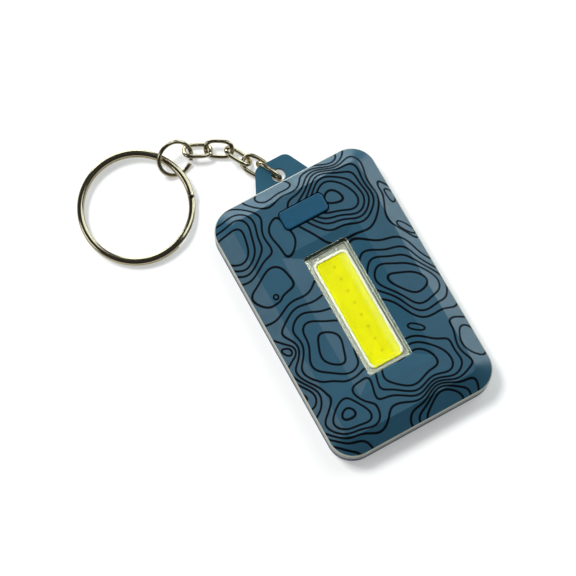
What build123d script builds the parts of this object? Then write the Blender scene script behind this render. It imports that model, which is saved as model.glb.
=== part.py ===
from build123d import *
import math
import os

# Keychain flashlight: a flat two-part plastic case with a strip light under a clear lens,
# a push button, two coin cells, and a short chain with a split ring on its lanyard tab.
# Millimetres. The back of the case lies on z = 0, its centre is the origin,
# +Y points to the lanyard tab and +Z out of the lit face.

# ---------------------------------------------------------------- driving dimensions
CASE_W = 37.5
CASE_L = 58.8
CASE_R = 5.5
WALL = 1.3
FLOOR = 1.2
PARTING_Z = 2.7  # where the two halves of the case meet
RIM_Z = 6.2  # top of the upright side wall
FACE_Z = 8.5  # flat field of the lit face
BEVEL_W = 3.8  # width of the sloping border, seen from the front
CEILING_Z = 7.2  # inside of the lit face
BACK_EDGE_R = 1.1
RIM_EDGE_R = 0.35
PARTING_CHAMFER = 0.35
FIT = 0.05  # gap between fixed pieces

LENS_W = 10.1
LENS_L = 28.2
LENS_Y = -2.0
LENS_TOP_Z = 8.4
LENS_R = 0.6
LENS_WALL = 0.8
LENS_ROOF = 0.8
LENS_FLANGE = 0.8
LENS_EDGE_R = 0.35
FRAME_W = 17.7  # sunken mitred frame around the lens
FRAME_L = 33.1
FRAME_Y = -2.35
FRAME_DEPTH = 0.5

BUTTON_W = 10.0
BUTTON_L = 4.2
BUTTON_R = 0.9
BUTTON_Y = 20.8
BUTTON_TOP_Z = 8.9
BUTTON_GAP = 0.28
BUTTON_FLANGE = 0.7
BUTTON_TRAVEL = 0.35

BOARD_W = 32.0
BOARD_L = 53.0
BOARD_BOTTOM_Z = 4.8
BOARD_TOP_Z = 5.6

STRIP_W = 9.4  # light strip on its own small board
STRIP_L = 27.2
TAPE = 0.1
STRIP_TOP_Z = 6.4
DAM_W = 8.1
DAM_L = 25.4
DAM_Y = -2.4
DAM_WALL = 0.55
DAM_R = 1.4
GEL_R = 1.0
DAM_TOP_Z = 7.0
PHOSPHOR_TOP_Z = 6.85
CHIP_COUNT = 8
CHIP_PITCH = 2.85

CELL_R = 10.0
CELL_T = 3.2
CELL_Y = 10.25
STRAP_T = 0.15  # sheet metal of the contacts
STRAP_W = 6.0
STRAP_L = 30.0
NEST_TOP_Z = 3.6  # low walls around the cells
POST_X = 13.0  # posts that carry the circuit board
POST_Y = 14.0

SCREW_X = 14.2
SCREW_Y = 24.9
SCREW_R = 0.8
SCREW_HEAD_R = 1.7
SCREW_HEAD_T = 0.9
SCREW_TIP_Z = 5.0
BOSS_R = 2.1

TAB_BOTTOM_Z = 2.0
TAB_TOP_Z = 3.15
TAB_BASE_HALF = 6.65
TAB_END_Y = 35.4
TAB_SLOPE = 26.0  # lean of its sides, degrees from +Y
TAB_R = 2.0
TAB_HOLE_Y = 31.8
TAB_HOLE_R = 1.5

LINK_L = 6.6
LINK_W = 4.5
LINK_WIRE_R = 0.45
JUMP_R = 3.75  # to the middle of its wire
JUMP_WIRE_R = 0.45
JUMP_GAP = 12.0  # degrees left open between its ends
JUMP_GAP_AT = 202.0  # where that opening is, along its wire
RING_R = 11.8  # to the middle of its flat wire
RING_WIRE_W = 1.4
RING_WIRE_T = 1.0
RING_WIRE_R = 0.42  # rounding of the flat wire's corners
RING_STEP_AT = 1.0  # where the wire leaves the lower turn, along the ring in degrees
RING_STEP = 50.0  # how far it takes to climb to the upper turn
RING_END_GAP = 1.5  # between each end of the wire and the step

# Where each piece of the chain lies at rest: centre x, y, z, then its heading, its pitch up
# from the table and its roll about its own length, in degrees. Link 1 is in the tab.
CHAIN = {
    "chain_link_1": (-1.22, 33.73, 2.24, -63, 0, 91),
    "chain_link_2": (-3.12, 36.38, 1.49, -60, -1, 0),
    "chain_link_3": (-5.35, 39.91, 2.05, -58, -14, -48),
    "chain_link_4": (-8.19, 43.21, 2.17, -33, 5, 40),
    "chain_link_5": (-12.35, 45.13, 1.99, -26, -3, -29),
}
JUMP_AT = (-17.45, 45.48, 3.17, 125, 43, -18)
RING_AT = (-29.59, 40.25, 1.94, -21, 1, 2)

os.makedirs("parts", exist_ok=True)


# ---------------------------------------------------------------- small helpers
def plate(width, length, bottom, top, radius, at=(0, 0), taper=0):
    """A rounded rectangular block, with sides that lean in by taper degrees."""
    outline = Pos(at[0], at[1], bottom) * RectangleRounded(width, length, radius)
    return extrude(outline, top - bottom, taper=taper)


def disc(radius, bottom, top, at=(0, 0)):
    return Pos(at[0], at[1], bottom) * extrude(Circle(radius), top - bottom)


def block(width, length, bottom, top, at=(0, 0)):
    return Pos(at[0], at[1], (bottom + top) / 2) * Box(width, length, top - bottom)


def cone(bottom_r, top_r, height, at=(0, 0), bottom=0.0):
    """An upright cone that stands on the given height."""
    upright = (Align.CENTER, Align.CENTER, Align.MIN)
    return Pos(at[0], at[1], bottom) * Cone(bottom_r, top_r, height, align=upright)


def corners(x, y):
    return [(sx * x, sy * y) for sx in (-1, 1) for sy in (-1, 1)]


def edges_at(shape, z, tolerance=1e-4):
    """The level edges of a shape at a height, outer loop and all."""
    found = []
    for edge in shape.edges():
        box = edge.bounding_box()
        if abs(box.min.Z - z) < tolerance and abs(box.max.Z - z) < tolerance:
            found.append(edge)
    return found


def placed(shape, at):
    """Turns a piece drawn flat at the origin to its roll, pitch and heading, and moves it."""
    x, y, z, heading, pitch, roll = at
    return Pos(x, y, z) * Rot(0, 0, heading) * Rot(0, -pitch, 0) * Rot(roll, 0, 0) * shape


def save(node, shapes):
    """Writes one node, as a single solid or as a group of separate solids."""
    solids = []
    for shape in shapes if isinstance(shapes, list) else [shapes]:
        solids += shape.solids()
    whole = solids[0] if len(solids) == 1 else Compound(children=solids)
    export_step(whole, f"parts/{node}.step")
    return whole


# ---------------------------------------------------------------- case
def lanyard_tab(grow=0.0):
    """The flat tab that the chain hangs from; grow makes the notch that it passes through."""
    root_y = CASE_L / 2 - 2 * WALL
    slope = math.tan(math.radians(TAB_SLOPE))
    end_half = TAB_BASE_HALF - (TAB_END_Y - CASE_L / 2) * slope
    base = TAB_BASE_HALF + grow
    outline = Polyline(
        (-base, root_y),
        (-base, CASE_L / 2),
        (-end_half - grow, TAB_END_Y),
        (end_half + grow, TAB_END_Y),
        (base, CASE_L / 2),
        (base, root_y),
        close=True,
    )
    sheet = make_face(outline)
    tips = [v for v in sheet.vertices() if v.Y > TAB_END_Y - 0.01]
    sheet = fillet(tips, TAB_R)
    return Pos(0, 0, TAB_BOTTOM_Z - grow) * extrude(sheet, TAB_TOP_Z - TAB_BOTTOM_Z + 2 * grow)


def make_front_cover():
    wall = plate(CASE_W, CASE_L, PARTING_Z, RIM_Z, CASE_R)
    lean = math.degrees(math.atan(BEVEL_W / (FACE_Z - RIM_Z)))
    cover = wall + plate(CASE_W, CASE_L, RIM_Z, FACE_Z, CASE_R, taper=lean)
    cover = fillet(edges_at(cover, RIM_Z), RIM_EDGE_R)
    cover = chamfer(edges_at(cover, PARTING_Z), PARTING_CHAMFER)

    # the hollow follows the sloping border at a steady wall thickness
    rise = (FACE_Z - RIM_Z) / BEVEL_W
    knee_z = RIM_Z + WALL * rise - WALL / math.cos(math.atan(rise))
    inner_w = CASE_W - 2 * WALL
    inner_l = CASE_L - 2 * WALL
    inner_r = CASE_R - WALL
    hollow = plate(inner_w, inner_l, PARTING_Z, knee_z, inner_r)
    hollow += plate(inner_w, inner_l, knee_z, CEILING_Z, inner_r, taper=lean)
    cover -= hollow

    for at in corners(SCREW_X, SCREW_Y):
        cover += disc(BOSS_R, FLOOR + FIT, CEILING_Z + 0.1, at)
        cover -= disc(SCREW_R - FIT, FLOOR, SCREW_TIP_Z + 0.3, at)

    # mitred frame that slopes down to the lens, and the lens window
    window_w = LENS_W + 2 * FIT
    window_l = LENS_L + 2 * FIT
    frame = loft(
        [
            Pos(0, LENS_Y, FACE_Z - FRAME_DEPTH) * Rectangle(window_w, window_l),
            Pos(0, FRAME_Y, FACE_Z) * Rectangle(FRAME_W, FRAME_L),
        ],
        ruled=True,
    )
    cover -= frame
    cover -= plate(window_w, window_l, CEILING_Z - 1, FACE_Z, LENS_R, (0, LENS_Y))

    # button window, with room above the button's flange
    room = BUTTON_FLANGE + 0.3
    cover -= plate(
        BUTTON_W + 2 * room, BUTTON_L + 2 * room, CEILING_Z - 1, CEILING_Z + 0.3, 1.2, (0, BUTTON_Y)
    )
    cover -= plate(
        BUTTON_W + 2 * BUTTON_GAP,
        BUTTON_L + 2 * BUTTON_GAP,
        CEILING_Z,
        FACE_Z + 1,
        BUTTON_R + BUTTON_GAP,
        (0, BUTTON_Y),
    )
    return cover - lanyard_tab(grow=0.1)


def make_back_shell():
    shell = plate(CASE_W, CASE_L, 0, PARTING_Z, CASE_R)
    shell = fillet(edges_at(shell, 0), BACK_EDGE_R)
    shell = chamfer(edges_at(shell, PARTING_Z), PARTING_CHAMFER)
    shell -= plate(CASE_W - 2 * WALL, CASE_L - 2 * WALL, FLOOR, PARTING_Z, CASE_R - WALL)

    # lip that centres the front cover
    lip_in = WALL + FIT
    lip = plate(CASE_W - 2 * lip_in, CASE_L - 2 * lip_in, FLOOR, PARTING_Z + 0.8, CASE_R - lip_in)
    lip_in += 0.8
    lip -= plate(CASE_W - 2 * lip_in, CASE_L - 2 * lip_in, FLOOR, PARTING_Z + 1, CASE_R - lip_in)
    rebate = plate(CASE_W - 2 * WALL, CASE_L - 2 * WALL, FLOOR, PARTING_Z, CASE_R - WALL)
    rebate -= plate(CASE_W - 2 * lip_in, CASE_L - 2 * lip_in, FLOOR, PARTING_Z, CASE_R - lip_in)
    shell += rebate + lip

    # nest for the two cells, and posts under the circuit board
    nest_r = CELL_R + 0.15
    nest = disc(nest_r + 0.8, FLOOR, NEST_TOP_Z, (0, CELL_Y))
    nest += disc(nest_r + 0.8, FLOOR, NEST_TOP_Z, (0, -CELL_Y))
    for side in (-1, 1):
        nest -= disc(nest_r, FLOOR, NEST_TOP_Z, (0, side * CELL_Y))
    shell += nest - block(STRAP_W + 1.4, 5.0, FLOOR, NEST_TOP_Z)
    for at in corners(POST_X, POST_Y):
        shell += disc(1.0, FLOOR, BOARD_BOTTOM_Z, at)

    shell += lanyard_tab()
    shell -= disc(TAB_HOLE_R, 0, FACE_Z, (0, TAB_HOLE_Y))
    for at in corners(SCREW_X, SCREW_Y):
        shell -= disc(BOSS_R + 0.15, FLOOR, FACE_Z, at)
        shell -= disc(SCREW_R + 0.15, -1, FACE_Z, at)
        shell -= cone(SCREW_HEAD_R + FIT, SCREW_R + FIT, SCREW_HEAD_T, at)
    return shell


def make_case_screws():
    """Four countersunk self-tapping screws with cross recesses, all alike."""
    head_bottom = 0.05  # just above the face, so that the case rests on its own back
    profile = make_face(
        Polyline(
            (0, head_bottom),
            (SCREW_HEAD_R, head_bottom),
            (SCREW_R, SCREW_HEAD_T),
            (SCREW_R, SCREW_TIP_Z - 0.8),
            (0.15, SCREW_TIP_Z),
            (0, SCREW_TIP_Z),
            close=True,
        )
    )
    screw = revolve(Plane.XZ * profile, Axis.Z)
    for turn in (0, 90):
        slot = Rot(0, 0, turn) * Box(1.9, 0.42, 1.0)
        screw -= Pos(0, 0, 0.15) * slot
    return [Pos(x, y, 0) * Rot(0, 0, 25 * (x + y)) * screw for x, y in corners(SCREW_X, SCREW_Y)]


# ---------------------------------------------------------------- lens and light strip
def make_lens():
    """Clear box with a thin roof, and a flange that is glued under the front cover."""
    bottom = STRIP_TOP_Z + FIT
    lens = plate(LENS_W, LENS_L, bottom, LENS_TOP_Z, LENS_R, (0, LENS_Y))
    lens = fillet(edges_at(lens, LENS_TOP_Z), LENS_EDGE_R)
    wide = 2 * LENS_FLANGE
    lens += plate(LENS_W + wide, LENS_L + wide, bottom, CEILING_Z - FIT, 1.0, (0, LENS_Y))
    inner = 2 * LENS_WALL
    cavity_top = LENS_TOP_Z - LENS_ROOF
    return lens - plate(LENS_W - inner, LENS_L - inner, bottom, cavity_top, 0.4, (0, LENS_Y))


PIN_SPOTS = [(-2.2, 10.8), (2.2, 10.8)]


def make_cob_tape():
    tape = plate(STRIP_W - 0.4, STRIP_L - 0.4, BOARD_TOP_Z, BOARD_TOP_Z + TAPE, 0.4, (0, LENS_Y))
    for at in PIN_SPOTS:
        tape -= disc(0.5, BOARD_TOP_Z, BOARD_TOP_Z + TAPE, at)
    return tape


def make_cob_board():
    board = plate(STRIP_W, STRIP_L, BOARD_TOP_Z + TAPE, STRIP_TOP_Z, 0.5, (0, LENS_Y))
    for at in PIN_SPOTS:
        board -= disc(0.3, BOARD_TOP_Z, STRIP_TOP_Z, at)
    return board


def make_cob_pins():
    """Two pins that tie the light strip to the circuit board, each with its solder button."""
    pins = []
    for at in PIN_SPOTS:
        pin = disc(0.3, BOARD_BOTTOM_Z + 0.1, STRIP_TOP_Z, at)
        pins.append(pin + cone(0.42, 0.2, 0.3, at, STRIP_TOP_Z))
    return pins


def make_cob_dam():
    dam = plate(DAM_W, DAM_L, STRIP_TOP_Z, DAM_TOP_Z, DAM_R, (0, DAM_Y))
    dam = fillet(edges_at(dam, DAM_TOP_Z), 0.2)
    inner = 2 * DAM_WALL
    return dam - plate(DAM_W - inner, DAM_L - inner, STRIP_TOP_Z, DAM_TOP_Z, GEL_R, (0, DAM_Y))


def make_led_chips():
    first = DAM_Y - CHIP_PITCH * (CHIP_COUNT - 1) / 2
    spots = [(0, first + n * CHIP_PITCH) for n in range(CHIP_COUNT)]
    return [block(0.7, 0.4, STRIP_TOP_Z, STRIP_TOP_Z + 0.15, at) for at in spots]


def make_cob_phosphor(chips):
    inner = 2 * DAM_WALL
    gel = plate(DAM_W - inner, DAM_L - inner, STRIP_TOP_Z, PHOSPHOR_TOP_Z, GEL_R, (0, DAM_Y))
    for chip in chips:
        gel -= chip
    return gel


# ---------------------------------------------------------------- button and switch
SWITCH_W = 5.2
SWITCH_TOP_Z = 6.4
PLUNGER_R = 1.0
CAP_BOTTOM_Z = 6.95


def make_button_cap():
    cap = plate(BUTTON_W, BUTTON_L, CAP_BOTTOM_Z, BUTTON_TOP_Z, BUTTON_R, (0, BUTTON_Y))
    cap = fillet(edges_at(cap, BUTTON_TOP_Z), 0.3)
    wide = 2 * BUTTON_FLANGE
    return cap + plate(BUTTON_W + wide, BUTTON_L + wide, CAP_BOTTOM_Z, 7.42, 1.0, (0, BUTTON_Y))


def make_switch_body():
    body = block(SWITCH_W, SWITCH_W, BOARD_TOP_Z, SWITCH_TOP_Z - 0.1, (0, BUTTON_Y))
    return body - disc(PLUNGER_R + 0.3, BOARD_TOP_Z + 0.15, SWITCH_TOP_Z, (0, BUTTON_Y))


def make_switch_cover():
    sheet = block(SWITCH_W, SWITCH_W, SWITCH_TOP_Z - 0.1, SWITCH_TOP_Z, (0, BUTTON_Y))
    return sheet - disc(PLUNGER_R + 0.06, SWITCH_TOP_Z - 0.1, SWITCH_TOP_Z, (0, BUTTON_Y))


def make_switch_plunger():
    foot_z = BOARD_TOP_Z + 0.15 + BUTTON_TRAVEL + 0.04
    foot = disc(PLUNGER_R + 0.22, foot_z, SWITCH_TOP_Z - 0.13, (0, BUTTON_Y))
    return foot + disc(PLUNGER_R, foot_z, CAP_BOTTOM_Z, (0, BUTTON_Y))


def make_switch_legs():
    """Four bent feet that are soldered to the board."""
    legs = []
    for sx, sy in corners(1, 1):
        x = sx * (SWITCH_W / 2 + 0.35)
        legs.append(block(0.7, 0.6, BOARD_TOP_Z, BOARD_TOP_Z + 0.2, (x, BUTTON_Y + sy * 1.8)))
    return legs


# ---------------------------------------------------------------- electronics
def make_circuit_board():
    board = plate(BOARD_W, BOARD_L, BOARD_BOTTOM_Z, BOARD_TOP_Z, 3.0)
    for at in corners(SCREW_X, SCREW_Y):
        board -= disc(BOSS_R + 0.3, BOARD_BOTTOM_Z, BOARD_TOP_Z, at)
    for at in PIN_SPOTS:
        board -= disc(0.3, BOARD_BOTTOM_Z, BOARD_TOP_Z, at)
    return board


CHIP_AT = (10.8, 8.0)


def make_mode_chip():
    return block(1.7, 3.0, BOARD_TOP_Z + 0.1, BOARD_TOP_Z + 1.15, CHIP_AT)


def make_mode_chip_legs():
    legs = []
    for side in (-1, 1):
        for n in (-1, 0, 1):
            at = (CHIP_AT[0] + side * 1.15, CHIP_AT[1] + n * 0.95)
            legs.append(block(0.6, 0.4, BOARD_TOP_Z, BOARD_TOP_Z + 0.3, at))
    return legs


def make_current_resistors():
    return [block(2.0, 1.25, BOARD_TOP_Z, BOARD_TOP_Z + 0.5, (-10.8, y)) for y in (6.5, 9.0, 11.5)]


def make_bypass_capacitor():
    return block(3.2, 1.6, BOARD_TOP_Z, BOARD_TOP_Z + 1.1, (10.8, 2.5))


CELL_BOTTOM_Z = FLOOR + STRAP_T
CELL_TOP_Z = CELL_BOTTOM_Z + CELL_T


def make_coin_cell(side, can_up):
    """One coin cell: a wide can with a rounded rim, a seal groove and a smaller cap."""
    cap_t = 0.35
    profile = make_face(
        Polyline(
            (0, 0),
            (CELL_R - 0.3, 0),
            (CELL_R, 0.3),
            (CELL_R, CELL_T - cap_t - 0.3),
            (CELL_R - 0.3, CELL_T - cap_t),
            (CELL_R - 1.1, CELL_T - cap_t),
            (CELL_R - 1.1, CELL_T - cap_t - 0.15),
            (CELL_R - 1.3, CELL_T - cap_t - 0.15),
            (CELL_R - 1.5, CELL_T),
            (0, CELL_T),
            close=True,
        )
    )
    cell = revolve(Plane.XZ * profile, Axis.Z)
    if can_up:
        cell = Pos(0, 0, CELL_T) * Rot(180, 0, 0) * cell
    return Pos(0, side * CELL_Y, CELL_BOTTOM_Z) * cell


def make_cell_bridge():
    """Strap under both cells that joins them in series."""
    return plate(STRAP_W, STRAP_L, FLOOR, CELL_BOTTOM_Z, 2.0)


def make_cell_contact(side):
    """Bent leaf: soldered under the board at one end, pressed on the cell at the other."""
    board_z = BOARD_BOTTOM_Z
    drop = board_z - STRAP_T - CELL_TOP_Z
    strip = Polyline(
        (-8.0, board_z),
        (-4.0, board_z),
        (-2.5, board_z - drop),
        (2.0, board_z - drop),
        (3.5, board_z - drop / 2),
        (3.5, board_z - drop / 2 - STRAP_T),
        (2.0, CELL_TOP_Z),
        (-2.5, CELL_TOP_Z),
        (-4.0, board_z - STRAP_T),
        (-8.0, board_z - STRAP_T),
        close=True,
    )
    leaf = extrude(Plane.XZ * make_face(strip), 1.5, both=True)
    return Pos(0, side * CELL_Y, 0) * leaf


# ---------------------------------------------------------------- chain and rings
def make_link():
    """One oval link of round wire."""
    across = LINK_W - 2 * LINK_WIRE_R
    along = LINK_L - LINK_W
    path = SlotCenterToCenter(along, across).wire()
    start = path @ 0
    section = Plane(start, z_dir=path % 0) * Circle(LINK_WIRE_R)
    return sweep(section, path=path)


def make_jump_ring():
    """Round wire ring that is not quite closed."""
    first = JUMP_GAP_AT + JUMP_GAP / 2
    section = Pos(JUMP_R, 0) * Circle(JUMP_WIRE_R)
    ring = revolve(Plane.XZ * section, Axis.Z, 360 - JUMP_GAP)
    return Rot(0, 0, first) * ring


def make_split_ring():
    """Two flat turns of one wire, with the step where it climbs from the lower to the upper."""
    low_z = -RING_WIRE_T / 2
    section = RectangleRounded(RING_WIRE_W, RING_WIRE_T - 0.02, RING_WIRE_R)
    turn = 360 - RING_STEP - RING_END_GAP

    def flat_turn(z, first):
        bar = revolve(Plane.XZ * (Pos(RING_R, z) * section), Axis.Z, turn)
        return Rot(0, 0, first) * bar

    lower = flat_turn(low_z, RING_STEP_AT)
    upper = flat_turn(-low_z, RING_STEP_AT + RING_END_GAP)
    climb = Helix(RING_WIRE_T * 360 / RING_STEP, RING_WIRE_T, RING_R, lefthand=True)
    ramp = sweep(Plane.XZ * (Pos(RING_R, 0) * section), path=climb, is_frenet=True)
    ramp = Pos(0, 0, low_z) * Rot(0, 0, RING_STEP_AT) * ramp
    return lower + ramp + upper


# ---------------------------------------------------------------- write every node
save("front_cover", make_front_cover())
save("back_shell", make_back_shell())
save("case_screws", make_case_screws())
save("lens", make_lens())
save("cob_tape", make_cob_tape())
save("cob_board", make_cob_board())
save("cob_pins", make_cob_pins())
save("cob_dam", make_cob_dam())
LED_CHIPS = make_led_chips()
save("led_chips", LED_CHIPS)
save("cob_phosphor", make_cob_phosphor(LED_CHIPS))
save("button_cap", make_button_cap())
save("switch_body", make_switch_body())
save("switch_cover", make_switch_cover())
save("switch_plunger", make_switch_plunger())
save("switch_legs", make_switch_legs())
save("circuit_board", make_circuit_board())
save("mode_chip", make_mode_chip())
save("mode_chip_legs", make_mode_chip_legs())
save("current_resistors", make_current_resistors())
save("bypass_capacitor", make_bypass_capacitor())
save("coin_cell_1", make_coin_cell(1, can_up=False))
save("coin_cell_2", make_coin_cell(-1, can_up=True))
save("cell_bridge", make_cell_bridge())
save("cell_contact_negative", make_cell_contact(1))
save("cell_contact_positive", make_cell_contact(-1))
LINK = make_link()
for name, at in CHAIN.items():
    save(name, placed(LINK, at))
save("jump_ring", placed(make_jump_ring(), JUMP_AT))
save("split_ring", placed(make_split_ring(), RING_AT))
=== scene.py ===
"""Looks of the keychain flashlight: materials, floor, studio light and camera.

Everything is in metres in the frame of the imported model. The case lies with its back on z = 0,
its middle at the origin, the lanyard tab towards +Y and the lit face up.
"""

import math

import bmesh
import bpy
from mathutils import Matrix, Vector


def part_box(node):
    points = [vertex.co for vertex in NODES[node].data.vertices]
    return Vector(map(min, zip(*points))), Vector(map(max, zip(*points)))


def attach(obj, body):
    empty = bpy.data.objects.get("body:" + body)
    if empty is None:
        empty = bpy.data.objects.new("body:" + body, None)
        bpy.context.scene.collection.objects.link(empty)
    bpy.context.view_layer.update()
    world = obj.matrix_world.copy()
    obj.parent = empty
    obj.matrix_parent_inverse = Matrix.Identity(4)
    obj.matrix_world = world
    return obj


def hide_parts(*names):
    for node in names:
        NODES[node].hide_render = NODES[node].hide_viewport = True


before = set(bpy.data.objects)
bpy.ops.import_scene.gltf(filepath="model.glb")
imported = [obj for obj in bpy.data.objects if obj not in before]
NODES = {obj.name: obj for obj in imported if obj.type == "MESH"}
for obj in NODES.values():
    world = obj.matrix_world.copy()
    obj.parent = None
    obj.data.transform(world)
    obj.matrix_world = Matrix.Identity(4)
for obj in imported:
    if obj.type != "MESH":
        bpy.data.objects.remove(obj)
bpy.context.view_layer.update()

MM = 0.001

# how unevenly plastic is coloured and polished, and its grain
DRIFT = 0.06
DRIFT_SIZE = 9 * MM
GLOSS_SIZE = 1.5 * MM
GRAIN_SIZE = 0.12 * MM
GRAIN_DEPTH = 0.004 * MM

# marks on plated metal
RIPPLE_SIZE = 1.1 * MM
RIPPLE_DEPTH = 0.012 * MM
SCRATCH_SIZE = 0.25 * MM
SCRATCH_DEPTH = 0.0015 * MM
SCRATCH_STRETCH = (1.0, 7.0, 3.0)
SPOT_SIZE = 0.7 * MM
SPOT_DULLING = 0.1  # added to the roughness of a dull spot
SPOT_SHADE = 0.8


# ---------------------------------------------------------------- shader helpers
class NodeMaths:
    """Short calls that add nodes to a tree and return their output sockets."""

    def __init__(self, tree):
        self.tree = tree

    def add(self, kind, settings=None, **inputs):
        """A node; inputs are named sockets, with _ for a space, or in0, in1 for numbered ones."""
        node = self.tree.nodes.new(kind)
        for key, value in (settings or {}).items():
            setattr(node, key, value)
        for key, value in inputs.items():
            if key.startswith("in") and key[2:].isdigit():
                socket = node.inputs[int(key[2:])]
            else:
                socket = node.inputs[key.replace("_", " ")]
            if isinstance(value, bpy.types.NodeSocket):
                self.tree.links.new(value, socket)
            else:
                socket.default_value = value
        return node

    def math(self, operation, *values, clamp=False):
        inputs = {f"in{n}": value for n, value in enumerate(values)}
        settings = {"operation": operation, "use_clamp": clamp}
        return self.add("ShaderNodeMath", settings, **inputs).outputs[0]

    def vector(self, operation, *values):
        inputs = {f"in{n}": value for n, value in enumerate(values)}
        node = self.add("ShaderNodeVectorMath", {"operation": operation}, **inputs)
        return node.outputs["Value" if operation in ("DOT_PRODUCT", "LENGTH") else "Vector"]

    def scale(self, vector, factor):
        node = self.add("ShaderNodeVectorMath", {"operation": "SCALE"}, in0=vector, Scale=factor)
        return node.outputs["Vector"]


class Shader(NodeMaths):
    """A new node material, with the steps that most materials share."""

    def __init__(self, name):
        self.material = bpy.data.materials.new(name)
        self.material.use_nodes = True
        super().__init__(self.material.node_tree)
        self.tree.nodes.clear()
        self.out = self.tree.nodes.new("ShaderNodeOutputMaterial")
        self.place = self.add("ShaderNodeTexCoord").outputs["Object"]

    def noise(self, size, detail=3.0, roughness=0.5, place=None):
        """Smooth noise with features of about that size in metres."""
        node = self.add(
            "ShaderNodeTexNoise",
            Vector=place or self.place,
            Scale=1 / size,
            Detail=detail,
            Roughness=roughness,
        )
        return node.outputs["Fac"]

    def spread(self, value, low, high, from_low=0.3, from_high=0.7):
        node = self.add(
            "ShaderNodeMapRange",
            Value=value,
            From_Min=from_low,
            From_Max=from_high,
            To_Min=low,
            To_Max=high,
        )
        return node.outputs["Result"]

    def mix(self, share, first, second):
        node = self.add("ShaderNodeMix", {"data_type": "RGBA"}, in0=share, in6=first, in7=second)
        return node.outputs[2]

    def bump(self, height, depth, strength=1.0, normal=None):
        inputs = {"Height": height, "Distance": depth, "Strength": strength}
        if normal:
            inputs["Normal"] = normal
        return self.add("ShaderNodeBump", **inputs).outputs["Normal"]

    def drifting(self, colour):
        """The colour, drifting slightly darker and lighter over the piece."""
        drift = self.spread(self.noise(DRIFT_SIZE, detail=2), 0, 1)
        return self.mix(drift, scaled(colour, 1 - DRIFT), scaled(colour, 1 + DRIFT))

    def uneven_gloss(self, low, high):
        """Roughness that wanders between two values."""
        return self.spread(self.noise(GLOSS_SIZE), low, high)

    def grain(self, size=GRAIN_SIZE, depth=GRAIN_DEPTH):
        """Fine grain of a mould."""
        return self.bump(self.noise(size, detail=4), depth)

    def surface(self, shader):
        self.tree.links.new(shader, self.out.inputs["Surface"])
        return self.material

    def principled(self, **inputs):
        shader = self.add("ShaderNodeBsdfPrincipled", **inputs)
        return self.surface(shader.outputs["BSDF"])


def rgb(red, green, blue):
    return (red, green, blue, 1.0)


def scaled(colour, factor):
    return rgb(*[factor * c for c in colour[:3]])


def moulded(name, colour, roughness, gloss=0.25, grain=GRAIN_SIZE, depth=GRAIN_DEPTH):
    """Moulded plastic: slight drift in colour and gloss, and the fine grain of the mould."""
    s = Shader(name)
    rough = s.uneven_gloss(roughness - 0.04, roughness + 0.05)
    return s.principled(
        Base_Color=s.drifting(colour),
        Roughness=rough,
        Normal=s.grain(grain, depth),
        Specular_IOR_Level=gloss,
    )


def polished(name, colour, roughness, edge=None):
    """Plated metal: hairline scratches, slight waviness and a few dull spots."""
    s = Shader(name)
    ripples = s.noise(RIPPLE_SIZE, detail=2)
    stretch = s.add("ShaderNodeMapping", Vector=s.place, Scale=SCRATCH_STRETCH)
    scratches = s.noise(SCRATCH_SIZE, detail=5, roughness=0.7, place=stretch.outputs["Vector"])
    spots = s.spread(s.noise(SPOT_SIZE, detail=4, roughness=0.6), 0.0, 1.0, 0.55, 0.75)
    rough = s.spread(scratches, roughness - 0.03, roughness + 0.07)
    rough = s.math("MULTIPLY_ADD", spots, SPOT_DULLING, rough)
    tint = s.mix(spots, colour, scaled(colour, SPOT_SHADE))
    normal = s.bump(ripples, RIPPLE_DEPTH, normal=s.bump(scratches, SCRATCH_DEPTH))
    return s.principled(
        Base_Color=tint, Metallic=1.0, Roughness=rough, Normal=normal, Specular_Tint=edge or colour
    )


# ---------------------------------------------------------------- printed contour lines
# The print is a map of made-up land: each hill or hollow is its centre x, y, its two radii, its
# turn in degrees and its height in steps, all in millimetres on the lit face.
HILLS = [
    (7.4, 20.2, 7.2, 6.0, -8, 5.4),
    (-16.5, 21.3, 6.2, 6.0, 0, 4.1),
    (-6.6, 18.8, 3.0, 5.0, -10, -1.3),
    (-3.5, 28.4, 6.0, 3.0, 0, -2.4),
    (9.0, 29.5, 5.0, 2.6, 0, -2.4),
    (-13.0, 8.8, 5.8, 5.4, 0, -1.3),
    (-14.0, 7.3, 0.9, 0.9, 0, -0.9),
    (-9.0, -6.5, 11.0, 10.5, 5, 3.6),
    (-9.0, -8.0, 3.8, 7.0, 5, 1.1),
    (-18.5, -3.2, 4.0, 3.6, 0, -2.1),
    (-17.2, -3.2, 1.1, 1.3, 0, -0.9),
    (-19.0, -12.0, 3.0, 4.4, 0, -2.8),
    (-12.5, -22.0, 5.0, 4.0, -10, 3.2),
    (-6.8, -16.8, 3.0, 3.4, 30, -1.6),
    (4.0, -19.0, 10.0, 5.2, -8, 3.9),
    (11.8, -2.5, 10.0, 5.4, -52, 4.6),
    (8.5, -11.8, 3.0, 2.4, 0, 0.4),
    (8.5, -11.8, 1.2, 0.9, -20, -1.0),
    (17.0, 14.0, 2.6, 10.0, 4, -1.4),
    (17.3, 16.0, 0.9, 1.7, 0, -1.3),
    (17.2, 8.2, 0.9, 1.5, 15, 0.9),
    (6.0, -28.6, 6.6, 4.0, 0, -3.6),
    (16.8, -19.5, 2.8, 4.2, 0, -1.8),
    (-18.0, -29.0, 8.0, 5.0, -40, -2.4),
]
HILL_EDGE = 1.4  # 1 is a smooth bell, more is a flatter top with steeper sides
GROUND = 0.2  # height of the land between the hills
WAVE = 0.6  # how far the land is wavily pushed aside, in millimetres
WAVE_X = (0.62, 1.3)  # that push along x follows sin(0.62 y + 1.3)
WAVE_Y = (0.70, 0.4)
LEAST_SLOPE = 0.04  # added to the slope, so that level ground isn't filled with one wide line
LINE_HALF = 0.21  # half the width of a printed line, in millimetres
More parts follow.
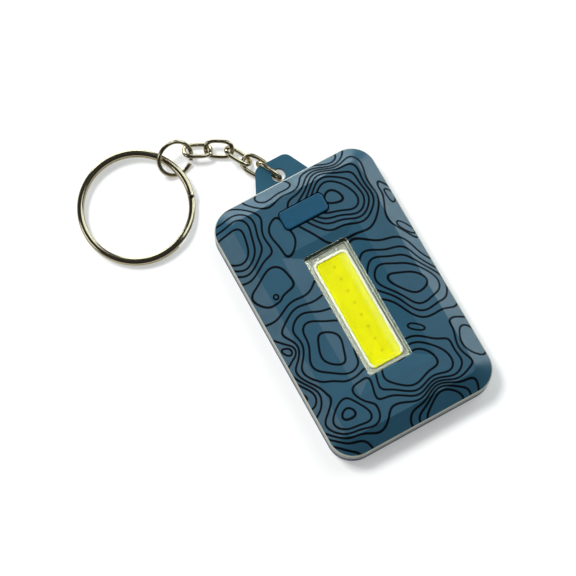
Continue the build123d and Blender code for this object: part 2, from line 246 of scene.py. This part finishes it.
LINE_SOFT = 0.05


def make_hill_group():
    """Node group for one hill: its height at a point, and how steeply it rises there."""
    group = bpy.data.node_groups.new("hill", "ShaderNodeTree")
    for name, kind in (
        ("Point", "NodeSocketVector"),
        ("Centre", "NodeSocketVector"),
        ("Across", "NodeSocketVector"),
        ("Along", "NodeSocketVector"),
        ("Top", "NodeSocketFloat"),
    ):
        group.interface.new_socket(name, in_out="INPUT", socket_type=kind)
    group.interface.new_socket("Height", in_out="OUTPUT", socket_type="NodeSocketFloat")
    group.interface.new_socket("Slope", in_out="OUTPUT", socket_type="NodeSocketVector")
    g = NodeMaths(group)
    given = g.add("NodeGroupInput").outputs
    offset = g.vector("SUBTRACT", given["Point"], given["Centre"])
    u = g.vector("DOT_PRODUCT", offset, given["Across"])
    v = g.vector("DOT_PRODUCT", offset, given["Along"])
    q = g.math("ADD", g.math("MULTIPLY", u, u), g.math("MULTIPLY", v, v))
    fall = g.math("EXPONENT", g.math("MULTIPLY", g.math("POWER", q, HILL_EDGE), -1.0))
    height = g.math("MULTIPLY", fall, given["Top"])
    rate = g.math("MULTIPLY", g.math("POWER", q, HILL_EDGE - 1), height)
    rate = g.math("MULTIPLY", rate, -2 * HILL_EDGE)
    slope_u = g.scale(given["Across"], g.math("MULTIPLY", rate, u))
    slope_v = g.scale(given["Along"], g.math("MULTIPLY", rate, v))
    slope = g.vector("ADD", slope_u, slope_v)
    g.add("NodeGroupOutput", Height=height, Slope=slope)
    return group


def contour_lines(s):
    """1 on the printed lines and 0 between them."""
    split = s.add("ShaderNodeSeparateXYZ", Vector=s.scale(s.place, 1 / MM)).outputs
    phase_x = s.math("MULTIPLY_ADD", split["Y"], *WAVE_X)
    phase_y = s.math("MULTIPLY_ADD", split["X"], *WAVE_Y)
    x = s.math("MULTIPLY_ADD", s.math("SINE", phase_x), WAVE, split["X"])
    y = s.math("MULTIPLY_ADD", s.math("SINE", phase_y), WAVE, split["Y"])
    point = s.add("ShaderNodeCombineXYZ", X=x, Y=y).outputs[0]
    hill_group = make_hill_group()
    height = GROUND
    slope = (0.0, 0.0, 0.0)
    for cx, cy, radius_u, radius_v, turn, top in HILLS:
        c = math.cos(math.radians(turn))
        d = math.sin(math.radians(turn))
        hill = s.add(
            "ShaderNodeGroup",
            {"node_tree": hill_group},
            Point=point,
            Centre=(cx, cy, 0),
            Across=(c / radius_u, d / radius_u, 0),
            Along=(-d / radius_v, c / radius_v, 0),
            Top=float(top),
        )
        height = s.math("ADD", hill.outputs["Height"], height)
        slope = s.vector("ADD", hill.outputs["Slope"], slope)
    slope = s.add("ShaderNodeSeparateXYZ", Vector=slope).outputs
    push_x = s.math("MULTIPLY", s.math("COSINE", phase_x), WAVE * WAVE_X[0])
    push_y = s.math("MULTIPLY", s.math("COSINE", phase_y), WAVE * WAVE_Y[0])
    rise_x = s.math("MULTIPLY_ADD", slope["Y"], push_y, slope["X"])
    rise_y = s.math("MULTIPLY_ADD", slope["X"], push_x, slope["Y"])
    rise = s.add("ShaderNodeCombineXYZ", X=rise_x, Y=rise_y).outputs[0]
    steep = s.math("ADD", s.vector("LENGTH", rise), LEAST_SLOPE)
    off_line = s.math("ABSOLUTE", s.math("SUBTRACT", s.math("FLOORED_MODULO", height, 1.0), 0.5))
    distance = s.math("DIVIDE", off_line, steep)
    return s.spread(distance, 1.0, 0.0, LINE_HALF - LINE_SOFT, LINE_HALF + LINE_SOFT)


# ---------------------------------------------------------------- materials
BLUE = rgb(0.017, 0.064, 0.103)
TAB_BLUE = rgb(0.018, 0.072, 0.115)
BUTTON_BLUE = rgb(0.008, 0.058, 0.110)
EDGE_GREY = rgb(0.42, 0.42, 0.35)
WALL_GREY = rgb(0.105, 0.112, 0.095)
# painted shade for the groove where the two halves of the case meet
SEAM_PAINTED_SHADE = rgb(0.006, 0.007, 0.008)
INK = rgb(0.010, 0.013, 0.017)
INK_ROUGHNESS = 0.6
INK_DEPTH = 0.006 * MM
NICKEL = rgb(0.44, 0.39, 0.275)
NICKEL_EDGE = rgb(0.42, 0.34, 0.20)
YELLOW = rgb(0.335, 0.32, 0.0)
# painted highlight: the gel's colour where a lamp's reflection falls along its right side
HIGHLIGHT_YELLOW = rgb(0.335, 0.33, 0.025)
DEEP_YELLOW = rgb(0.21, 0.18, 0.0)
DAM_WHITE = rgb(0.37, 0.365, 0.29)
DAM_GRAIN_DEPTH = 0.012 * MM
STAIN_REACH = 0.5 * MM  # from the dam's outer end to where the stain starts to show
STAIN_HALF_W = 3.3 * MM
STAIN_SOFT = 0.2 * MM
CHIP_COUNT = 8
CHIP_W = 0.4 * MM
CHIP_SHADE = 0.8  # how dark the gel is over the middle of a chip
CHIP_FADE = (0.08 * MM, 0.48 * MM)
PAINTED_HIGHLIGHT_X = (1.7 * MM, 2.6 * MM)  # where a painted highlight pales the gel towards its right side
CLOUD_SIZE = 2.5 * MM
CLOUD_SHADE = 0.93
GEL_RIPPLE_SIZE = 1.2 * MM
GEL_RIPPLE_DEPTH = 0.02 * MM
PARTING_Z = 2.7 * MM  # where the two halves of the case meet
# half the height of the band of painted shade at the seam
PAINTED_SEAM_HALF = 0.3 * MM
RIM_Z = 6.2 * MM  # top of the upright side wall
BARE_EDGE = 0.13 * MM  # the print stops this far above the rim
EDGE_FADE = (0.7 * MM, 0.25 * MM)  # below the rim, the pale edge fades into the darker wall


def painted_seam_shade(s, height, tint):
    """Painted shade: the colour darkened in the groove between the two halves of the case."""
    off_seam = s.math("ABSOLUTE", s.math("SUBTRACT", height, PARTING_Z))
    return s.mix(s.math("LESS_THAN", off_seam, PAINTED_SEAM_HALF), tint, SEAM_PAINTED_SHADE)


def make_cover_material():
    """Pale moulded plastic, coloured blue above its bare rim and printed with the contour map."""
    s = Shader("printed_plastic")
    height = s.add("ShaderNodeSeparateXYZ", Vector=s.place).outputs["Z"]
    fade = s.spread(height, 0.0, 1.0, RIM_Z - EDGE_FADE[0], RIM_Z - EDGE_FADE[1])
    bare = s.mix(fade, WALL_GREY, s.drifting(EDGE_GREY))
    above = s.math("GREATER_THAN", height, RIM_Z + BARE_EDGE)
    printed = s.math("MULTIPLY", contour_lines(s), above)
    # painted shade darkens the bare wall in the groove at the seam
    plastic = s.mix(above, painted_seam_shade(s, height, bare), s.drifting(BLUE))
    ink_roughness = s.math("MULTIPLY", printed, INK_ROUGHNESS)
    # the ink is given as a very dark metal, which takes no pale veil from the lamps
    return s.principled(
        Base_Color=s.mix(printed, plastic, INK),
        Metallic=printed,
        Roughness=s.math("MAXIMUM", ink_roughness, s.uneven_gloss(0.30, 0.38)),
        Normal=s.bump(printed, INK_DEPTH, normal=s.grain()),
        Specular_IOR_Level=0.4,
    )


def make_shell_material():
    """Plain blue plastic with shade in the groove at its top edge."""
    s = Shader("tab_plastic")
    height = s.add("ShaderNodeSeparateXYZ", Vector=s.place).outputs["Z"]
    return s.principled(
        # painted shade darkens the shell in the groove at its top edge
        Base_Color=painted_seam_shade(s, height, s.drifting(TAB_BLUE)),
        Roughness=s.uneven_gloss(0.41, 0.50),
        Normal=s.grain(),
        Specular_IOR_Level=0.25,
    )


def make_lens_material():
    """Clear plastic that bends what is seen through it, and lets the lamps shine in."""
    s = Shader("clear_lens")
    solid = s.add("ShaderNodeBsdfGlass", Color=rgb(0.98, 0.99, 0.98), Roughness=0.02, IOR=1.5)
    open_way = s.add("ShaderNodeBsdfTransparent", Color=rgb(0.97, 0.98, 0.97))
    lamp_ray = s.add("ShaderNodeLightPath").outputs["Is Shadow Ray"]
    both = s.add("ShaderNodeMixShader", in0=lamp_ray, in1=solid.outputs[0], in2=open_way.outputs[0])
    return s.surface(both.outputs[0])


def make_phosphor_material():
    """Yellow gel, darker over each light chip, with a painted highlight paling it along one side.
    """
    s = Shader("phosphor")
    low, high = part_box("led_chips")
    pitch = (high.y - low.y - CHIP_W) / (CHIP_COUNT - 1)
    split = s.add("ShaderNodeSeparateXYZ", Vector=s.place).outputs
    first = low.y + CHIP_W / 2
    turn = s.math("DIVIDE", s.math("SUBTRACT", split["Y"], first), pitch)
    along = s.math("MULTIPLY", s.math("PINGPONG", turn, 0.5), pitch)
    squares = s.math("ADD", s.math("POWER", along, 2.0), s.math("POWER", split["X"], 2.0))
    dot = s.spread(s.math("SQRT", squares), CHIP_SHADE, 0.0, *CHIP_FADE)
    clouds = s.spread(s.noise(CLOUD_SIZE, detail=4), 0, 1)
    cloudy = s.mix(clouds, YELLOW, scaled(YELLOW, CLOUD_SHADE))
    # painted highlight: the gel pales towards its right side
    highlight_share = s.spread(split["X"], 0.0, 1.0, *PAINTED_HIGHLIGHT_X)
    tint = s.mix(dot, s.mix(highlight_share, cloudy, HIGHLIGHT_YELLOW), DEEP_YELLOW)
    normal = s.bump(s.noise(GEL_RIPPLE_SIZE), GEL_RIPPLE_DEPTH)
    return s.principled(Base_Color=tint, Roughness=0.25, Normal=normal, Specular_IOR_Level=0.04)


def make_dam_material():
    """White silicone, stained where the gel has run over the wall at its lower end."""
    s = Shader("dam_silicone")
    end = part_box("cob_dam")[0].y
    split = s.add("ShaderNodeSeparateXYZ", Vector=s.place).outputs
    past_end = s.spread(split["Y"], 1.0, 0.0, end + STAIN_REACH, end + STAIN_REACH + STAIN_SOFT)
    off_middle = s.math("ABSOLUTE", split["X"])
    across = s.spread(off_middle, 1.0, 0.0, STAIN_HALF_W - STAIN_SOFT, STAIN_HALF_W + STAIN_SOFT)
    tint = s.mix(s.math("MULTIPLY", past_end, across), s.drifting(DAM_WHITE), YELLOW)
    normal = s.grain(depth=DAM_GRAIN_DEPTH)
    return s.principled(Base_Color=tint, Roughness=0.4, Normal=normal, Specular_IOR_Level=0.25)


chain_metal = polished("chain_nickel", NICKEL, 0.13, edge=NICKEL_EDGE)
phosphor = make_phosphor_material()
bright_tin = polished("solder", rgb(0.62, 0.62, 0.60), 0.45)
sheet_steel = polished("switch_steel", rgb(0.55, 0.55, 0.55), 0.28)
cell_steel = polished("cell_steel", rgb(0.56, 0.56, 0.53), 0.24)
contact_metal = polished("contact_nickel", rgb(0.52, 0.50, 0.45), 0.22)

MATERIALS = {
    "front_cover": make_cover_material(),
    "back_shell": make_shell_material(),
    "case_screws": polished("screw_steel", rgb(0.16, 0.16, 0.17), 0.3),
    "lens": make_lens_material(),
    "cob_tape": moulded("white_tape", rgb(0.6, 0.6, 0.57), 0.7, grain=0.3 * MM, depth=0.02 * MM),
    "cob_board": moulded("white_board", rgb(0.19, 0.195, 0.165), 0.45, grain=0.2 * MM),
    "cob_pins": bright_tin,
    "cob_dam": make_dam_material(),
    "led_chips": moulded("chip_blue", rgb(0.30, 0.34, 0.10), 0.2, gloss=0.5),
    "cob_phosphor": phosphor,
    "button_cap": moulded("button_plastic", BUTTON_BLUE, 0.30),
    "switch_body": moulded("black_nylon", rgb(0.012, 0.012, 0.012), 0.5),
    "switch_cover": sheet_steel,
    "switch_plunger": moulded("plunger_nylon", rgb(0.42, 0.42, 0.38), 0.5),
    "switch_legs": sheet_steel,
    "circuit_board": moulded("green_board", rgb(0.10, 0.15, 0.09), 0.35, 0.5, grain=0.5 * MM),
    "mode_chip": moulded("chip_resin", rgb(0.012, 0.012, 0.013), 0.55, grain=0.06 * MM),
    "mode_chip_legs": bright_tin,
    "current_resistors": moulded("resistor_body", rgb(0.015, 0.015, 0.016), 0.3, gloss=0.5),
    "bypass_capacitor": moulded("capacitor_body", rgb(0.30, 0.19, 0.10), 0.4),
    "coin_cell_1": cell_steel,
    "coin_cell_2": cell_steel,
    "cell_bridge": contact_metal,
    "cell_contact_negative": contact_metal,
    "cell_contact_positive": contact_metal,
}
for node in NODES:
    if node.startswith("chain_link") or node.endswith("ring"):
        MATERIALS[node] = chain_metal


def dress(node, material):
    """Gives a CAD node its material, in every slot it has."""
    slots = NODES[node].material_slots
    if not slots:
        NODES[node].data.materials.append(material)
    for slot in slots:
        slot.material = material


for node, material in MATERIALS.items():
    dress(node, material)


# ---------------------------------------------------------------- mesh helpers
def skin(mesh, rings):
    """Faces between neighbouring rings of points, with flat ends."""
    for first, second in zip(rings, rings[1:]):
        for k in range(len(first)):
            j = (k + 1) % len(first)
            mesh.faces.new((first[k], first[j], second[j], second[k]))
    mesh.faces.new(list(reversed(rings[0])))
    mesh.faces.new(rings[-1])
    bmesh.ops.recalc_face_normals(mesh, faces=mesh.faces)


def finished(name, mesh, material):
    """The mesh as a new piece of that name in the scene."""
    data = bpy.data.meshes.new(name)
    mesh.to_mesh(data)
    mesh.free()
    data.materials.append(material)
    piece = bpy.data.objects.new(name, data)
    bpy.context.scene.collection.objects.link(piece)
    return piece


# ---------------------------------------------------------------- phosphor gel
GEL_CORNER_R = 1.0 * MM
GEL_CREEP = 0.14 * MM  # how far the gel has crept up the dam
GEL_CREEP_W = 0.9 * MM
GEL_STEPS = 9  # rings of points across the part that is drawn up
GEL_LEAST_R = 0.05 * MM
CORNER_POINTS = 6
LEVEL_ENOUGH = 0.3  # faces that lean up more than this are shaded smooth, unlike the upright side


def rounded_outline(half_w, half_l, radius):
    """Points of a rounded rectangle, anticlockwise."""
    points = []
    for corner, (sx, sy) in enumerate(((1, 1), (-1, 1), (-1, -1), (1, -1))):
        for n in range(CORNER_POINTS):
            angle = math.pi / 2 * (corner + n / (CORNER_POINTS - 1))
            x = sx * (half_w - radius) + radius * math.cos(angle)
            y = sy * (half_l - radius) + radius * math.sin(angle)
            points.append((x, y))
    return points


def make_gel():
    """Gel between the dam walls: flat in the middle and drawn up at the rim."""
    low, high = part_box("cob_phosphor")
    middle = (low + high) / 2
    half_w = (high.x - low.x) / 2
    half_l = (high.y - low.y) / 2
    mesh = bmesh.new()

    def ring(inset, z):
        radius = max(GEL_CORNER_R - inset, GEL_LEAST_R)
        outline = rounded_outline(half_w - inset, half_l - inset, radius)
        return [mesh.verts.new((middle.x + x, middle.y + y, z)) for x, y in outline]

    rings = [ring(0, low.z)]
    for n in range(GEL_STEPS):
        share = n / (GEL_STEPS - 1)
        rings.append(ring(GEL_CREEP_W * share, high.z - GEL_CREEP * (1 - (1 - share) ** 2)))
    skin(mesh, rings)
    for face in mesh.faces:
        face.smooth = len(face.verts) == 4 and abs(face.normal.z) > LEVEL_ENOUGH
    gel = finished("phosphor_gel", mesh, phosphor)
    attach(gel, "housing")
    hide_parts("cob_phosphor")


make_gel()

# ---------------------------------------------------------------- chain and rings
# Where each wire piece lies at rest, as in the part's source: centre x, y, z in millimetres,
# then its heading, its pitch up from the table and its roll about its own length, in degrees.
# The sizes that follow are millimetres too.
LINKS = {
    "chain_link_1": (-1.22, 33.73, 2.24, -63, 0, 91),
    "chain_link_2": (-3.12, 36.38, 1.49, -60, -1, 0),
    "chain_link_3": (-5.35, 39.91, 2.05, -58, -14, -48),
    "chain_link_4": (-8.19, 43.21, 2.17, -33, 5, 40),
    "chain_link_5": (-12.35, 45.13, 1.99, -26, -3, -29),
}
JUMP_AT = (-17.45, 45.48, 3.17, 125, 43, -18)
RING_AT = (-29.59, 40.25, 1.94, -21, 1, 2)
LINK_HALF_LENGTH = 2.85  # to the middle of the wire
LINK_HALF_WIDTH = 1.8
LINK_SQUARENESS = 2.9  # 2 is an ellipse, more is fuller at the corners
LINK_SEAM = 0.004  # half the seam where the bent wire's ends meet, in radians
WIRE_R = 0.45
JUMP_R = 3.75
JUMP_GAP_AT = math.radians(202)
JUMP_GAP = math.radians(12)
RING_R = 11.8
RING_HALF_WIDTH = 0.7
RING_HALF_THICK = 0.49
RING_SQUARENESS = 2.3
RING_STEP_AT = 1.0  # where the climb to the upper turn starts, in degrees round the ring
RING_STEP = 50.0  # how far round the climb runs
RING_END_GAP = 1.5  # how far each end of the wire stays clear of the climb
RING_RISE = 1.0  # from the middle of one turn to the middle of the next
WIRE_SIDES = 20
LOOP_POINTS = 97  # along a link or the jump ring
COIL_POINTS = 361  # along both turns of the split ring


def squared_circle(angle, half_a, half_b, power):
    """A point of an oval that is fuller at its corners than an ellipse."""
    a = math.cos(angle)
    b = math.sin(angle)
    reach = (abs(a / half_a) ** power + abs(b / half_b) ** power) ** (-1 / power)
    return reach * a, reach * b


def make_wire(name, points, half_a, half_b, power, at, body):
    """A closed tube with flat ends along points of one flat ring, and its section across them."""
    turns = [math.tau * k / WIRE_SIDES for k in range(WIRE_SIDES)]
    section = [squared_circle(turn, half_a, half_b, power) for turn in turns]
    mesh = bmesh.new()
    rings = []
    for n, point in enumerate(points):
        before = points[max(n - 1, 0)]
        after = points[min(n + 1, len(points) - 1)]
        run = (after - before).normalized()
        out = run.cross(Vector((0, 0, 1))).normalized()
        up = out.cross(run)
        rings.append([mesh.verts.new(point + out * a + up * b) for a, b in section])
    skin(mesh, rings)
    for face in mesh.faces:
        face.smooth = len(face.verts) == 4
    x, y, z, heading, pitch, roll = at
    turn = Matrix.Rotation(math.radians(heading), 4, "Z")
    turn = turn @ Matrix.Rotation(math.radians(-pitch), 4, "Y")
    turn = turn @ Matrix.Rotation(math.radians(roll), 4, "X")
    bmesh.ops.transform(mesh, verts=mesh.verts, matrix=Matrix.Translation((x, y, z)) @ turn)
    bmesh.ops.scale(mesh, verts=mesh.verts, vec=(MM, MM, MM))
    piece = finished(name, mesh, chain_metal)
    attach(piece, body)
    return piece


def spaced(start, end, count):
    return [start + (end - start) * n / (count - 1) for n in range(count)]


def make_links():
    for number, (node, at) in enumerate(LINKS.items(), start=1):
        points = []
        for angle in spaced(math.pi / 2 + LINK_SEAM, 2.5 * math.pi - LINK_SEAM, LOOP_POINTS):
            x, y = squared_circle(angle, LINK_HALF_LENGTH, LINK_HALF_WIDTH, LINK_SQUARENESS)
            points.append(Vector((x, y, 0)))
        link = make_wire(f"wire_link_{number}", points, WIRE_R, WIRE_R, 2, at, f"link_{number}")
        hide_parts(node)


def make_jump_ring():
    points = []
    first = JUMP_GAP_AT + JUMP_GAP / 2
    for angle in spaced(first, first + math.tau - JUMP_GAP, LOOP_POINTS):
        points.append(Vector((JUMP_R * math.cos(angle), JUMP_R * math.sin(angle), 0)))
    ring = make_wire("wire_jump_ring", points, WIRE_R, WIRE_R, 2, JUMP_AT, "jump_ring")
    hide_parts("jump_ring")


def make_split_ring():
    """One flat wire wound twice: a lower turn, a smooth climb and an upper turn."""
    first = RING_STEP_AT + 360 - RING_STEP - RING_END_GAP
    last = RING_STEP_AT + RING_END_GAP - 360
    points = []
    for angle in spaced(first, last, COIL_POINTS):
        share = min(max((RING_STEP_AT - angle) / RING_STEP, 0), 1)
        z = RING_RISE * (share * share * (3 - 2 * share) - 0.5)
        a = math.radians(angle)
        points.append(Vector((RING_R * math.cos(a), RING_R * math.sin(a), z)))
    section = (RING_HALF_WIDTH, RING_HALF_THICK, RING_SQUARENESS)
    ring = make_wire("wire_split_ring", points, *section, RING_AT, "split_ring")
    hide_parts("split_ring")


make_links()
make_jump_ring()
make_split_ring()

# ---------------------------------------------------------------- floor
FLOOR_HALF = 1.5
FLOOR_WHITE = 0.6
FLOOR_GLOW = 0.35  # a lit white table, as for a product picture
FLOOR_UNEVENNESS = 0.01


def make_floor():
    mesh = bpy.data.meshes.new("studio_floor")
    corners = [(x * FLOOR_HALF, y * FLOOR_HALF, 0) for x, y in ((-1, -1), (1, -1), (1, 1), (-1, 1))]
    mesh.from_pydata(corners, [], [(0, 1, 2, 3)])
    floor = bpy.data.objects.new("studio_floor", mesh)
    bpy.context.scene.collection.objects.link(floor)
    s = Shader("studio_floor")
    cloud = s.noise(60 * MM, detail=2)
    shade = s.spread(cloud, FLOOR_WHITE - FLOOR_UNEVENNESS, FLOOR_WHITE + FLOOR_UNEVENNESS)
    tint = s.mix(shade, rgb(0, 0, 0), rgb(1, 1, 1))
    glow = {"Emission_Color": rgb(1, 1, 1), "Emission_Strength": FLOOR_GLOW}
    mesh.materials.append(s.principled(Base_Color=tint, Roughness=0.8, **glow))


make_floor()


# ---------------------------------------------------------------- camera and light
def direction(azimuth, elevation):
    """Unit vector towards the viewer at that azimuth and elevation, in degrees."""
    a = math.radians(azimuth)
    e = math.radians(elevation)
    return Vector((math.sin(a) * math.cos(e), -math.cos(a) * math.cos(e), math.sin(e)))


VIEW_AZIMUTH = -28.8
VIEW_ELEVATION = 76.0
VIEW_DISTANCE = 0.4
VIEW_TARGET = Vector((-10.2, 9.0, 4.0)) * MM
LENS_MM = 120.2
SENSOR_MM = 36.0
NEAREST_SEEN = 0.01


def make_camera():
    data = bpy.data.cameras.new("camera")
    data.lens = LENS_MM
    data.sensor_width = SENSOR_MM
    data.clip_start = NEAREST_SEEN
    camera = bpy.data.objects.new("camera", data)
    bpy.context.scene.collection.objects.link(camera)
    back = direction(VIEW_AZIMUTH, VIEW_ELEVATION)
    camera.location = VIEW_TARGET + back * VIEW_DISTANCE
    camera.rotation_euler = back.to_track_quat("Z", "Y").to_euler()
    bpy.context.scene.camera = camera


def softbox(name, azimuth, elevation, distance, width, height, power, colour, mirrored=True):
    """A lamp aimed at the origin; one that is not mirrored leaves no highlight on the model."""
    data = bpy.data.lights.new(name, "AREA")
    data.shape = "RECTANGLE"
    data.size = width
    data.size_y = height
    data.energy = power
    data.color = colour
    light = bpy.data.objects.new(name, data)
    bpy.context.scene.collection.objects.link(light)
    back = direction(azimuth, elevation)
    light.location = back * distance
    light.rotation_euler = back.to_track_quat("Z", "Y").to_euler()
    light.visible_glossy = mirrored


def make_world(colour, strength):
    world = bpy.data.worlds.new("studio")
    world.use_nodes = True
    background = world.node_tree.nodes["Background"]
    background.inputs["Color"].default_value = rgb(*colour)
    background.inputs["Strength"].default_value = strength
    bpy.context.scene.world = world


make_camera()
bpy.context.scene.view_settings.view_transform = "Standard"
WARM = (1.0, 0.99, 0.97)
WHITE = (1.0, 1.0, 1.0)
COOL = (0.90, 1.0, 1.0)
make_world(WARM, 0.05)
# azimuth and elevation in degrees, then distance, width and height in metres, and watts
softbox("panel_top", 112, 60, 1.0, 0.6, 0.5, 2.2, COOL)
softbox("panel_back", 172, 14, 0.8, 0.7, 0.25, 3.4, COOL)
softbox("panel_right", 103, 20, 0.8, 0.55, 0.3, 2.6, COOL)
softbox("panel_left", 255, 34, 0.8, 0.35, 0.3, 0.95, COOL)
softbox("key", 209, 62, 0.9, 0.25, 0.25, 7.4, WHITE, mirrored=False)
